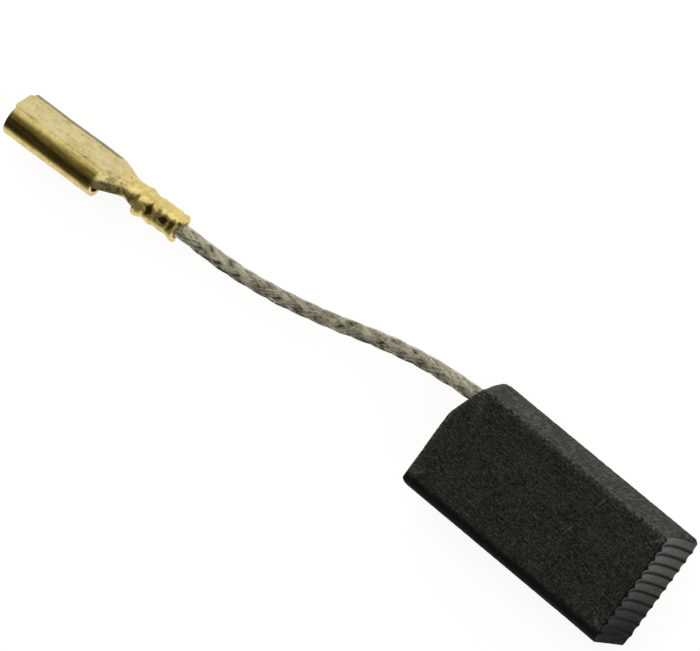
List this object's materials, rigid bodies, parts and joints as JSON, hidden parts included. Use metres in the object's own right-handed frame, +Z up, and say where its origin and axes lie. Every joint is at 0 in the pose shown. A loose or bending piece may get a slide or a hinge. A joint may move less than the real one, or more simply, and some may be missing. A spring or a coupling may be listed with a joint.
{
  "type": "carbon brush",
  "caption": "Flat carbon-graphite motor brush with a fluted contact end, a braided lead set in the bevelled corner of its other end, and a crimped push-on receptacle.",
  "frame": {"origin": "middle of the block's bottom large face", "axes": "+X along the block towards its fluted contact end, +Y towards the side that the lead leaves from, +Z up through the block's thickness"},
  "size_m": [0.0518, 0.008, 0.005],
  "materials": {
    "graphite": "matt pressed carbon, dark grey",
    "tamped_powder": "matt copper-graphite powder",
    "tinned_braid": "braid of fine tinned copper wires",
    "sheet_brass": "bright stamped brass sheet"
  },
  "bodies": {
    "root": {"carbon_block": "graphite", "tamping_plug": "tamped_powder", "shunt_wire": "tinned_braid", "receptacle": "sheet_brass"}
  },
  "joints": []
}
